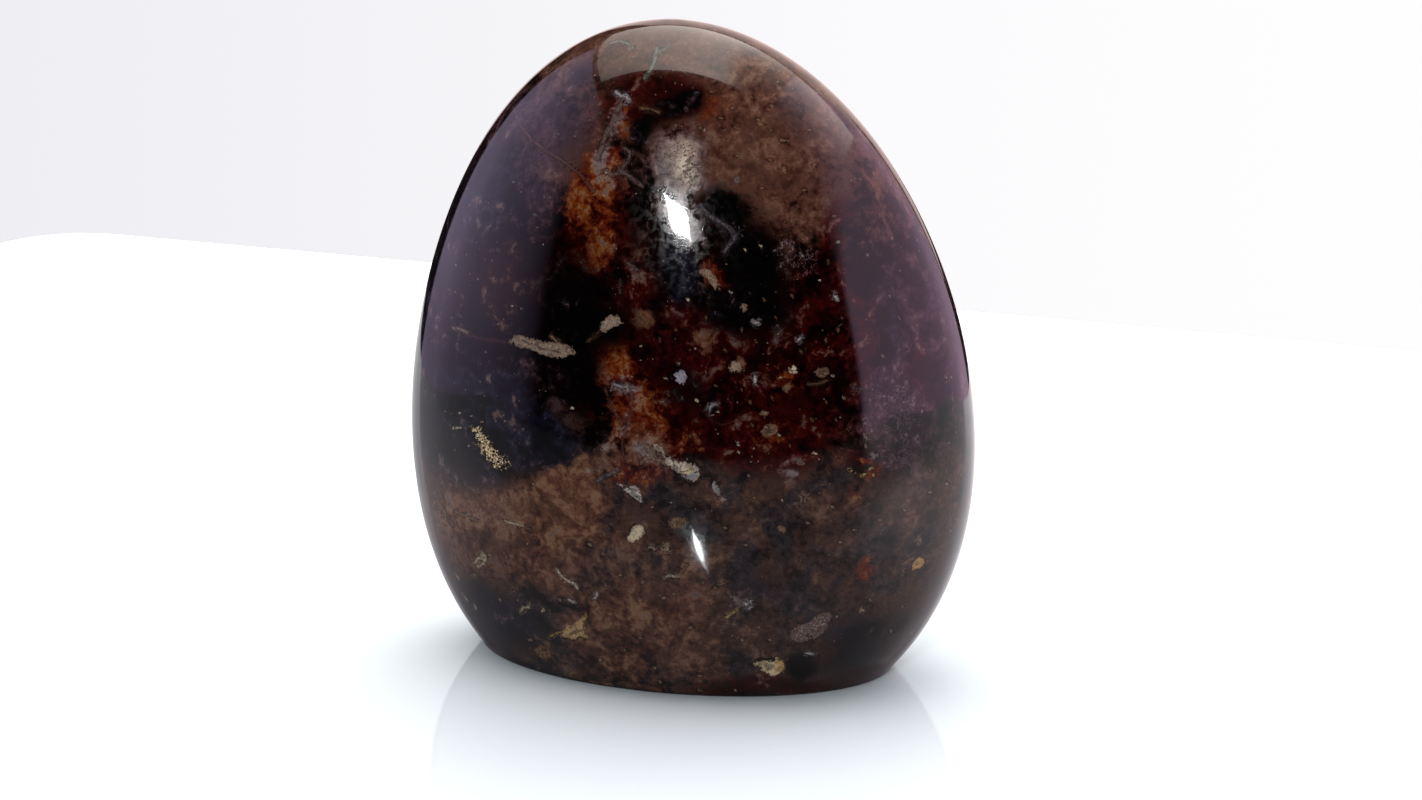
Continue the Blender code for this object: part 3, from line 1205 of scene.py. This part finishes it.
# Painted highlight haze, rising into the real pale pitted patch.
HAZE_AND_FROSTS = ((0.1, (48, 32, 36)), (0.35, (98, 82, 80)), (0.6, (156, 140, 124)), (0.85, (222, 206, 180)))
LACES = ((0.40, (46, 34, 38)), (0.50, (82, 68, 72)), (0.62, (136, 124, 124)))
GOLDS = ((0.4, (116, 94, 56)), (0.48, (190, 164, 112)), (0.57, (232, 218, 180)))
SPECKS = ((0.1, (62, 34, 24)), (0.5, (94, 68, 50)), (0.95, (138, 114, 92)))
CRUMBS = ((0.1, (74, 46, 36)), (0.5, (112, 88, 74)), (0.95, (156, 138, 124)))


def mark_edges():
    """Turns a stored mark into a mask with a ragged edge, and the thin band along that edge where a painted
    shade ring is laid.
    """
    group, w, given, out = new_group(
        "mark_edges",
        {"Place": "Vector", "Size": "Float", "Gap": "Float", "Ragged": "Float", "Softness": "Float"},
        {"Mask": "Float", "Rim": "Float"},
    )
    length = w.node("ShaderNodeVectorMath", given["Place"], operation="LENGTH").outputs["Value"]
    reach = w.plus(w.times(w.less(length, 1.0), given["Size"]), given["Ragged"])
    inside = w.math("DIVIDE", w.times(reach, -1.0), given["Softness"])
    guard = w.soften(given["Gap"], *GUARD)
    band = w.soften(w.math("ABSOLUTE", w.less(reach, RIM_PLACE)), RIM_WIDTH, 0.0)
    w.feed_named(out, Mask=w.times(w.soften(inside, -0.5, 0.5), guard), Rim=w.times(band, guard))
    return group


def thin_lines():
    """Fine curling lines: the places where a soft noise passes through its middle value."""
    group, w, given, out = new_group(
        "thin_lines", {"Vector": "Vector", "Scale": "Float", "Width": "Float"}, {"Lines": "Float"}
    )
    field = w.noise(given["Vector"], given["Scale"], 1.5, 0.45, 0.6)
    away = w.math("ABSOLUTE", w.less(field, 0.5))
    w.feed_named(out, Lines=w.soften(w.math("DIVIDE", away, given["Width"]), 1.0, 0.35))
    return group


class Opal:
    """The stone's material. Its colour is built up coat by coat, from the marks stored on the mesh."""

    def __init__(self):
        self.material = bpy.data.materials.new("polished_black_opal")
        self.material.use_nodes = True
        self.w = w = Wiring(self.material.node_tree)
        place = w.node("ShaderNodeMapping", w.node("ShaderNodeTexCoord").outputs["Object"])
        self.here = w.feed_named(place, Scale=(MM, MM, MM)).outputs["Vector"]
        drift = w.noise(self.here, DRIFT_SCALE, 2.0, output="Color")
        drift = w.node("ShaderNodeVectorMath", drift, (0.5, 0.5, 0.5), operation="SUBTRACT")
        drift = w.node("ShaderNodeVectorMath", drift.outputs["Vector"], operation="SCALE")
        drift = w.feed_named(drift, Scale=DRIFT_REACH).outputs["Vector"]
        warped = w.node("ShaderNodeVectorMath", self.here, drift, operation="ADD")
        self.warped = warped.outputs["Vector"]

        self.cloud = w.noise(self.warped, CLOUD_SCALE, 4.0)
        self.mottle = w.noise(self.warped, MOTTLE_SCALE, 5.0, 0.62, 0.5)
        self.grain = w.noise(self.here, GRAIN_SCALE, 4.0, 0.6, 0.3)
        self.dust = w.noise(self.here, DUST_SCALE, 2.0, 0.6)
        self.fine = w.blend_by(self.mottle, 0.7, self.grain, 0.3)
        self.speckle = w.blend_by(self.grain, 0.5, self.dust, 0.5)
        self.clotted = w.blend_by(self.fine, 0.78, self.speckle, 0.22)
        self.ragged = w.swing(self.fine, RAGGEDNESS)
        self.jitter = w.swing(self.dust, 1.6)
        self.uneven = w.plus(w.swing(self.grain, 2.2), self.jitter)

        stored = [part for name in FIELD_SETS for part in w.parts(w.stored(name, "Color"))]
        self.fields = dict(zip(KINDS, stored))
        self.colour = w.ramp(w.blend_by(self.cloud, 0.5, self.mottle, 0.5), GROUND)

    def coat(self, mask, paint, most=1.0):
        """Lays a paint over the colour so far, where the mask shows it."""
        share = mask if most == 1.0 else self.w.times(mask, most)
        self.colour = self.w.mix(share, self.colour, paint)

    def patchy(self, kind, low, high, raggedness=1.0):
        """Where a stored field shows, with a ragged edge."""
        worn = self.w.times(self.ragged, raggedness)
        return self.w.soften(self.w.plus(self.fields[kind], worn), low, high)

    def paint_fields(self):
        w = self.w
        patch = w.noise(self.warped, PATCH_SCALE, 3.0, 0.5, 0.4)
        greyer = w.soften(patch, 0.44, 0.60)
        # Painted reflection in part: these shades are kept light to stand in for the white table's
        # reflection on the lower stone.
        earth_and_sheen_paint = w.mix(greyer, w.ramp(self.clotted, EARTH_AND_SHEEN_SHADES), w.ramp(self.clotted, GREYS))
        earth_and_sheen_paint = w.mix(w.times(w.soften(patch, 0.46, 0.36), 0.2), earth_and_sheen_paint, pigment((78, 58, 42)))
        self.coat(self.patchy("earth_and_table_sheen", 0.15, 0.75, 0.8), earth_and_sheen_paint, 0.94)
        paler = w.times(w.soften(patch, 0.46, 0.60), 0.4)
        umbers = w.mix(paler, w.ramp(self.clotted, UMBERS), pigment((84, 60, 48)))
        self.coat(self.patchy("umber", 0.1, 0.95, 1.2), umbers)
        for kind, low, high, raggedness, most, noise_value, shades in (
            ("mauve", 0.3, 0.9, 1.0, 0.85, self.fine, MAUVES),
            ("indigo", 0.3, 0.9, 0.8, 0.9, self.fine, INDIGOS),
            ("blood", 0.3, 0.95, 1.0, 0.95, self.clotted, BLOODS),
            ("ember", 0.2, 0.95, 1.2, 0.95, self.clotted, EMBERS),
            ("tan", 0.25, 1.0, 1.2, 0.85, self.clotted, TANS),
            ("mist", 0.3, 1.0, 1.5, 0.85, self.clotted, MISTS),
        ):
            self.coat(self.patchy(kind, low, high, raggedness), w.ramp(noise_value, shades), most)
        self.coat(self.patchy("black", 0.25, 1.0, 1.5), pigment((2, 1, 1)))

    def paint_haze_and_frost(self):
        """A painted highlight haze round the lamp's reflection, partly a real pale pitted patch."""
        bright = self.w.plus(self.w.times(self.fields["glare"], 0.5), self.w.swing(self.clotted, 1.4))
        self.coat(self.patchy("glare", 0.15, 1.1, 1.3), self.w.ramp(bright, HAZE_AND_FROSTS), 0.8)

    def paint_nets(self):
        """Fine pale threads that net the opal together."""
        w, lines = self.w, thin_lines()
        threads = []
        curls = ((self.warped, CURL_SCALE, 0.020), (self.here, FINE_CURL_SCALE, 0.026))
        for vector, scale, width in curls:
            node = w.node("ShaderNodeGroup", node_tree=lines)
            threads.append(w.feed_named(node, Vector=vector, Scale=scale, Width=width).outputs["Lines"])
        netted = w.times(w.math("MAXIMUM", *threads), self.patchy("lace", 0.4, 1.0, 1.6))
        self.coat(netted, w.ramp(self.speckle, LACES), 0.8)

    def marks(self, edges, name, roughness, softness):
        """One stored layer through the mark_edges group: its mask, its rim and the marks' colour."""
        w = self.w
        node = w.feed_named(
            w.node("ShaderNodeGroup", node_tree=edges),
            Place=w.stored(name + "_place", "Vector"),
            Size=w.stored(name + "_size", "Fac"),
            Gap=w.stored(name + "_gap", "Fac"),
            Ragged=w.times(self.uneven, roughness),
            Softness=softness,
        )
        return node.outputs["Mask"], node.outputs["Rim"], w.stored(name + "_colour", "Color")

    def paint_veins(self, edges):
        w = self.w
        vein, rim, own = self.marks(edges, "vein", 0.8, 0.3)
        near = w.soften(w.stored("vein_gap", "Fac"), 0.9, 0.0)
        cloudy = w.times(near, w.soften(self.speckle, 0.47, 0.60))
        self.coat(cloudy, w.mix(0.5, self.colour, own), 0.4)
        # Painted shade: a dark ring round each vein, standing in for the shadow in the pit along it.
        self.coat(rim, pigment(RIM_SHADE), 0.75)
        broken = w.soften(w.plus(self.dust, w.times(self.grain, 0.8)), 0.80, 0.96)
        dull = w.mix(0.6, own, pigment((52, 36, 30)))
        body = w.mix(w.soften(self.speckle, 0.44, 0.54), dull, own)
        self.coat(w.times(vein, w.between(broken, 0.45, 1.0)), body)

    def strew(self, vector, scale, rare, most, gathering, shades):
        """Small crumbs strewn through the opal, each a shade of its own, ringed by a thin painted shadow."""
        w = self.w
        cells = w.feed_named(w.node("ShaderNodeTexVoronoi", feature="F1"), Vector=vector, Scale=scale)
        chosen, shade, girth = w.parts(cells.outputs["Color"])
        girth = w.times(w.plus(w.times(girth, girth), 0.25), most)
        rarer = w.less(rare, w.times(w.soften(gathering, 0.38, 0.62), 0.5))
        there = w.math("GREATER_THAN", chosen, rarer)
        worn = w.times(self.jitter, scale * 0.55)
        reach = w.less(w.plus(cells.outputs["Distance"], worn), girth)
        # Painted shadow: a thin dark ring round each crumb.
        self.coat(w.times(w.soften(reach, 0.10, 0.02), there), pigment((8, 4, 3)), 0.45)
        self.coat(w.times(w.soften(reach, 0.02, -0.03), there), w.ramp(shade, shades), 0.75)

    def strew_crumbs(self):
        """Two sizes of crumbs, kept off the black fields."""
        clean = self.colour
        self.strew(self.here, SPECK_SCALE, 0.99, 0.08, self.mottle, SPECKS)
        self.strew(self.warped, CRUMB_SCALE, 0.97, 0.13, self.cloud, CRUMBS)
        self.coat(self.w.soften(self.fields["black"], 0.3, 0.9), clean, 0.85)

    def paint_inclusions(self):
        """The painted shadow beside each inclusion, then the inclusions over it; gives back the inclusions'
        mask.
        """
        w = self.w
        # Painted shadow beside each inclusion, drawn from the moved outlines.
        inclusion_shadow = w.plus(w.stored("inclusion_shadow_gap", "Fac"), w.times(self.uneven, 0.7))
        self.coat(w.soften(inclusion_shadow, 0.1, -0.1), pigment(INCLUSION_SHADOW_INK), 0.92)
        edge = w.plus(w.stored("inclusion_gap", "Fac"), w.times(self.uneven, 0.75))
        inclusion = w.soften(edge, 0.14, -0.1)
        body = w.stored("inclusion_colour", "Color")
        body = w.mix(w.soften(self.grain, 0.50, 0.38), body, w.mix(0.45, body, pigment((40, 24, 17))))
        body = w.mix(w.times(w.soften(self.dust, 0.54, 0.66), 0.4), body, pigment((206, 194, 170)))
        body = w.mix(w.times(w.soften(self.dust, 0.40, 0.32), 0.7), body, pigment((30, 16, 12)))
        self.coat(inclusion, body, 0.95)
        return inclusion

    def paint_gold(self):
        """The cluster of gold flecks in its dark bed."""
        w, fleck = self.w, self.fields["fleck"]
        crumbs = w.noise(self.warped, GOLD_SCALE, 2.0, 0.6, 0.8)
        packed = w.plus(crumbs, w.swing(fleck, 0.28))
        self.coat(w.soften(fleck, 0.15, 0.6), pigment((6, 6, 8)), 0.8)
        shown = w.times(w.soften(packed, 0.57, 0.60), w.soften(fleck, 0.2, 0.5))
        self.coat(shown, w.ramp(self.dust, GOLDS))

    def paint_grains(self, edges):
        w = self.w
        dots, rim, own = self.marks(edges, "grain", 0.75, 0.22)
        # Painted shade: a dark ring round each grain, standing in for the shadow in the pit around it.
        self.coat(rim, pigment(RIM_SHADE), 0.65)
        self.coat(w.times(dots, w.soften(self.speckle, 0.40, 0.52)), own, 0.9)
        # Painted shade: dark dots in the pale pitted patch, standing in for the shadow inside its pits.
        shaded_pits = w.times(w.soften(self.fields["glare"], 0.8, 1.3), w.soften(self.dust, 0.44, 0.38))
        self.coat(shaded_pits, pigment((22, 14, 12)), 0.85)
        # Painted shade: the bottom 0.8 mm darkened where the stone meets the table.
        self.coat(w.soften(w.axes(self.here)[2], *FOOT_SHADE), pigment((12, 4, 4)), 0.8)

    def polish(self, inclusion):
        """A clear gloss over the body; inclusions take the polish less well."""
        w = self.w
        body = w.between(w.soften(self.grain, 0.4, 0.6), *BODY_ROUGHNESS)
        pitted = w.plus(w.times(w.soften(self.fields["glare"], 0.3, 1.1), 0.8), 0.06)
        bump = w.feed_named(
            w.node("ShaderNodeBump"),
            Strength=1.0, Distance=PITTING_DEPTH, Height=w.times(w.less(self.dust, 0.5), pitted),
        )
        w.feed_named(
            self.material.node_tree.nodes["Principled BSDF"],
            Base_Color=self.colour,
            Roughness=w.between(inclusion, body, INCLUSION_ROUGHNESS),
            IOR=BODY_IOR,
            Coat_Weight=w.between(inclusion, 1.0, INCLUSION_POLISH),
            Coat_Roughness=POLISH_ROUGHNESS,
            Coat_IOR=POLISH_IOR,
            Normal=bump.outputs["Normal"],
        )


def opal_material():
    opal = Opal()
    edges = mark_edges()
    opal.paint_fields()
    opal.paint_haze_and_frost()
    opal.paint_nets()
    opal.paint_veins(edges)
    opal.strew_crumbs()
    inclusion = opal.paint_inclusions()
    opal.paint_gold()
    opal.paint_grains(edges)
    opal.polish(inclusion)
    return opal.material


# ------------------------------------------------------------------ table, lights and surroundings

TABLE_CORNER = (-0.295, 0.308)
TABLE_LENGTH = 0.93
TABLE_WIDTH = 0.5
TABLE_THICKNESS = 0.018
TABLE_TURN = math.radians(-6.3)
TABLE_CORNER_ROUND = 0.028
TABLE_EDGE_ROUND = 0.002
TABLE_EDGE_ANGLE = math.radians(30)
TABLE_IOR = 1.5
TABLE_ROUGHNESS = (0.03, 0.06)
TABLE_GLOSS = (0.3, 0.5)

# The table top's colours: as the camera sees it, then as the stone does.
TOP_PALE = (0.84, 0.90, 0.93, 1)
TOP_GREY = (0.82, 0.88, 0.91, 1)
UNDER_STONE = (0.09, 0.084, 0.086, 1)
BESIDE_STONE = (0.95, 0.90, 0.93, 1)
REAR_LEFT = (0.26, 0.25, 0.27, 1)
REAR_RIGHT = (0.5, 0.48, 0.5, 1)

# Brightness along a panel: (place, brightness) from one end to the other.
CEILING_STEPS = (
    (0, 0.45), (0.126, 0.6), (0.234, 0.85), (0.395, 1.1),
    (0.476, 1.15), (0.556, 0.75), (0.664, 0.6), (1, 0.5),
)
LEFT_STEPS = (
    (0, 0.5), (0.14, 0.66), (0.264, 0.90), (0.42, 0.80), (0.586, 0.68), (0.798, 0.38), (0.972, 0),
)
LEFT_FOOT = (0.25, 0.38)
DIM_FOOT = 0.62
LEFT_WALL = ((-0.6, -0.16, 0.245), (1, 0, 0), (1.0, 1.09), 0.95)
RIGHT_WALL = ((0.6, 0.235, 0.43), (-1, 0, 0), (1.63, 1.46), 1.0)
BACK = 1.05
BACK_ROSE = (1.0, 0.80, 0.76)

WALL_LEFT = (0.86, 0.85, 0.89, 1)
WALL_RIGHT = (1.0, 0.99, 1.0, 1)
DARK_ROOM = (0.010, 0.008, 0.010, 1)


def table_material():
    """A white gloss top. It is darker to everything but the camera, so the stone keeps its depth."""
    material = bpy.data.materials.new("white_table_top")
    material.use_nodes = True
    w = Wiring(material.node_tree)
    coordinates = w.node("ShaderNodeTexCoord").outputs["Object"]
    across, back, _ = w.axes(coordinates)
    haze = w.noise(coordinates, 9.0)
    seen = w.node("ShaderNodeLightPath").outputs["Is Camera Ray"]
    aside = w.math("ABSOLUTE", across)
    # Painted reflection: lighter strips beside and behind the stone, seen only by reflections, brighten the
    # table's reflection in the stone's lower flanks and rim.
    beside = w.times(w.soften(aside, 0.05, 0.13), w.soften(aside, 0.30, 0.15))
    beside = w.times(beside, w.between(w.soften(across, -0.02, 0.02), 0.25, 0.75))
    beside = w.times(beside, w.soften(back, -0.11, -0.05))
    rear = w.mix(w.soften(across, -0.08, 0.04), REAR_LEFT, REAR_RIGHT)
    shaded = w.mix(w.soften(back, -0.10, 0.06), w.mix(beside, UNDER_STONE, BESIDE_STONE), rear)
    w.feed_named(
        material.node_tree.nodes["Principled BSDF"],
        Base_Color=w.mix(seen, shaded, w.mix(haze, TOP_GREY, TOP_PALE)),
        Roughness=w.between(haze, *TABLE_ROUGHNESS),
        IOR=TABLE_IOR,
        Specular_IOR_Level=w.between(seen, *TABLE_GLOSS),
    )
    return material


def make_table():
    deselect()
    bpy.ops.mesh.primitive_plane_add(size=1)
    table = bpy.context.object
    table.name = "table_top"
    bpy.ops.object.mode_set(mode="EDIT")
    bpy.ops.mesh.select_all(action="SELECT")
    bpy.ops.transform.resize(value=(TABLE_LENGTH, TABLE_WIDTH, 1), center_override=(0, 0, 0))
    bpy.ops.transform.translate(value=(TABLE_LENGTH / 2, -TABLE_WIDTH / 2, 0))
    bpy.ops.mesh.bevel(offset=TABLE_CORNER_ROUND, segments=8, affect="VERTICES")
    bpy.ops.mesh.extrude_region_move(TRANSFORM_OT_translate={"value": (0, 0, -TABLE_THICKNESS)})
    bpy.ops.mesh.select_all(action="SELECT")
    bpy.ops.mesh.normals_make_consistent(inside=False)
    select_edges(table, on_the_table)
    bpy.ops.mesh.bevel(offset=TABLE_EDGE_ROUND, segments=4, affect="EDGES")
    bpy.ops.object.mode_set(mode="OBJECT")
    turn = Matrix.Rotation(TABLE_TURN, 4, "Z")
    table.data.transform(Matrix.Translation((*TABLE_CORNER, 0)) @ turn)
    table.data.materials.append(table_material())
    bpy.ops.object.shade_smooth_by_angle(angle=TABLE_EDGE_ANGLE)
    return table


def panel(name, middle, faces, size, radiance, tint, roll=0.0, only=None):
    """A soft light with its brightness given as seen. Where a thing is given, it lights only that."""
    data = bpy.data.lights.new(name, "AREA")
    data.shape = "RECTANGLE"
    data.size, data.size_y = size
    data.color = tint
    data.energy = math.pi * data.size * data.size_y * radiance
    light = bpy.data.objects.new(name, data)
    bpy.context.scene.collection.objects.link(light)
    aim = Vector(faces).to_track_quat("-Z", "Y").to_matrix().to_4x4()
    light.matrix_world = Matrix.Translation(middle) @ aim @ Matrix.Rotation(math.radians(roll), 4, "Z")
    light.visible_camera = False
    if only:
        receivers = bpy.data.collections.new(name + "_receivers")
        receivers.objects.link(only)
        light.light_linking.receiver_collection = receivers
    return light


def light_wiring(light):
    """The light's own nodes: where a place is across it and up it, and the strength to feed."""
    light.data.use_nodes = True
    w = Wiring(light.data.node_tree)
    across, up, _ = w.axes(w.node("ShaderNodeNewGeometry").outputs["Parametric"])
    return w, across, up, light.data.node_tree.nodes["Emission"].inputs["Strength"]


def brightness_along(w, across, steps):
    total = steps[0][1]
    for (start, low), (end, high) in zip(steps, steps[1:]):
        rise = w.node("ShaderNodeMapRange", across, start, end, 0.0, high - low)
        total = w.plus(rise.outputs["Result"], total)
    return total


def shade_the_ceiling(light):
    """Brightest in the middle; the right half dissolves towards the front."""
    w, across, up, strength = light_wiring(light)
    dissolved = w.between(w.soften(across, 0.44, 0.56), 1.0, w.soften(up, -0.1, 0.9))
    w.feed(strength, w.times(brightness_along(w, across, CEILING_STEPS), dissolved))


def shade_the_left_wall(light):
    """Brightest near its back end, with a dimmer foot."""
    w, across, up, strength = light_wiring(light)
    foot = w.between(w.soften(up, *LEFT_FOOT), DIM_FOOT, 1.0)
    w.feed(strength, w.times(brightness_along(w, across, LEFT_STEPS), foot))


def shade_the_right_wall(light):
    """Its front edge is crisp low down and dissolves towards the top; its far end is dimmer."""
    w, across, up, strength = light_wiring(light)
    softness = w.between(w.soften(up, 0.35, 0.8), 0.035, 0.59)
    front = w.soften(w.math("DIVIDE", across, softness), 0.0, 1.0)
    w.feed(strength, w.times(front, w.between(w.soften(across, 0.72, 1.0), 1.0, 0.7)))


def shape_as_drop(light, tail):
    """A soft bright spindle instead of a rectangle, drawn out to a thin tail above."""
    w, across, up, strength = light_wiring(light)
    side = w.math("ABSOLUTE", w.swing(across, 2.0))
    rise = w.swing(up, 2.0)
    narrow = w.less(1.0, w.times(w.soften(rise, -0.4, 0.7), tail))
    pointed = w.math("POWER", w.less(1.0, w.times(rise, rise)), 1.8)
    girth = w.math("MAXIMUM", w.times(pointed, narrow), 0.02)
    w.feed(strength, w.soften(w.math("DIVIDE", side, girth), 1.0, 0.2))


def light_the_table(table, stone):
    down, forward = (0, 0, -1), (0, -1, 0)
    ceiling = panel("ceiling", (0.19, 0.32, 1.0), down, (1.86, 1.30), 2.9, (1.0, 0.93, 0.86), roll=2)
    shade_the_ceiling(ceiling)
    for thing, name, left_tint, right_tint in (
        (stone, "", (1.04, 0.87, 1.28), (1.10, 0.76, 1.03)),
        (table, "_on_table", (0.93, 0.93, 0.97), (0.84, 0.85, 0.88)),
    ):
        shade_the_left_wall(panel("left_wall" + name, *LEFT_WALL, left_tint, only=thing))
        shade_the_right_wall(panel("right_wall" + name, *RIGHT_WALL, right_tint, only=thing))
    panel("back_right", (0.525, BACK, 0.025), forward, (0.15, 0.85), 0.62, (1.08, 0.80, 0.98))
    panel("back_crown", (0.05, BACK, 0.725), forward, (1.10, 0.55), 0.9, BACK_ROSE, only=stone)
    panel("back_step", (-0.07, BACK, 0.375), forward, (0.86, 0.15), 0.9, BACK_ROSE, only=stone)
    panel("back_low", (-0.15, BACK, 0.15), forward, (1.06, 0.30), 0.9, (1.0, 0.74, 0.70))
    lamp = panel(
        "lamp", (-0.101, -0.81, 0.389), (0.085, 0.81, -0.28), (0.105, 0.175), 200.0, (0.98, 0.98, 1.0),
        roll=46, only=stone,
    )
    shape_as_drop(lamp, tail=0.5)
    low_lamp = panel(
        "low_lamp", (-0.030, -0.81, 0.316), (0.02, 0.72, -0.40), (0.035, 0.16), 620.0, (0.9, 0.96, 1.0),
        roll=-20, only=table,
    )
    shape_as_drop(low_lamp, tail=0.7)
    panel("table_glow", (-0.3, 1.3, 0.42), (0.1, -1, -0.2), (3.6, 1.1), 1.12, (0.94, 0.99, 1.0), only=table)
    panel("table_fill", (0.05, 0.35, 1.2), down, (1.8, 1.2), 1.5, (1.01, 1.01, 1.16), only=table)


def surround():
    """A pale wall behind, brighter to the right, and near darkness in front."""
    world = bpy.data.worlds.new("pale_room")
    bpy.context.scene.world = world
    world.use_nodes = True
    w = Wiring(world.node_tree)
    across, _, _ = w.axes(w.node("ShaderNodeTexCoord").outputs["Generated"])
    seen = w.node("ShaderNodeLightPath").outputs["Is Camera Ray"]
    wall = w.mix(w.soften(across, -0.55, 0.0), WALL_LEFT, WALL_RIGHT)
    w.feed_named(world.node_tree.nodes["Background"], Color=w.mix(seen, DARK_ROOM, wall))


# ------------------------------------------------------------------ putting it together

camera = make_camera()
stone = model_stone()
outlines = lay_markings(stone, camera)
wave_the_wall(stone)
pit_the_inclusions(stone, outlines)
stone.data.materials.append(opal_material())
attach(stone, "root")
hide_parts("opal_stone")

table = make_table()
light_the_table(table, stone)
surround()
bpy.context.scene.view_settings.view_transform = "Standard"
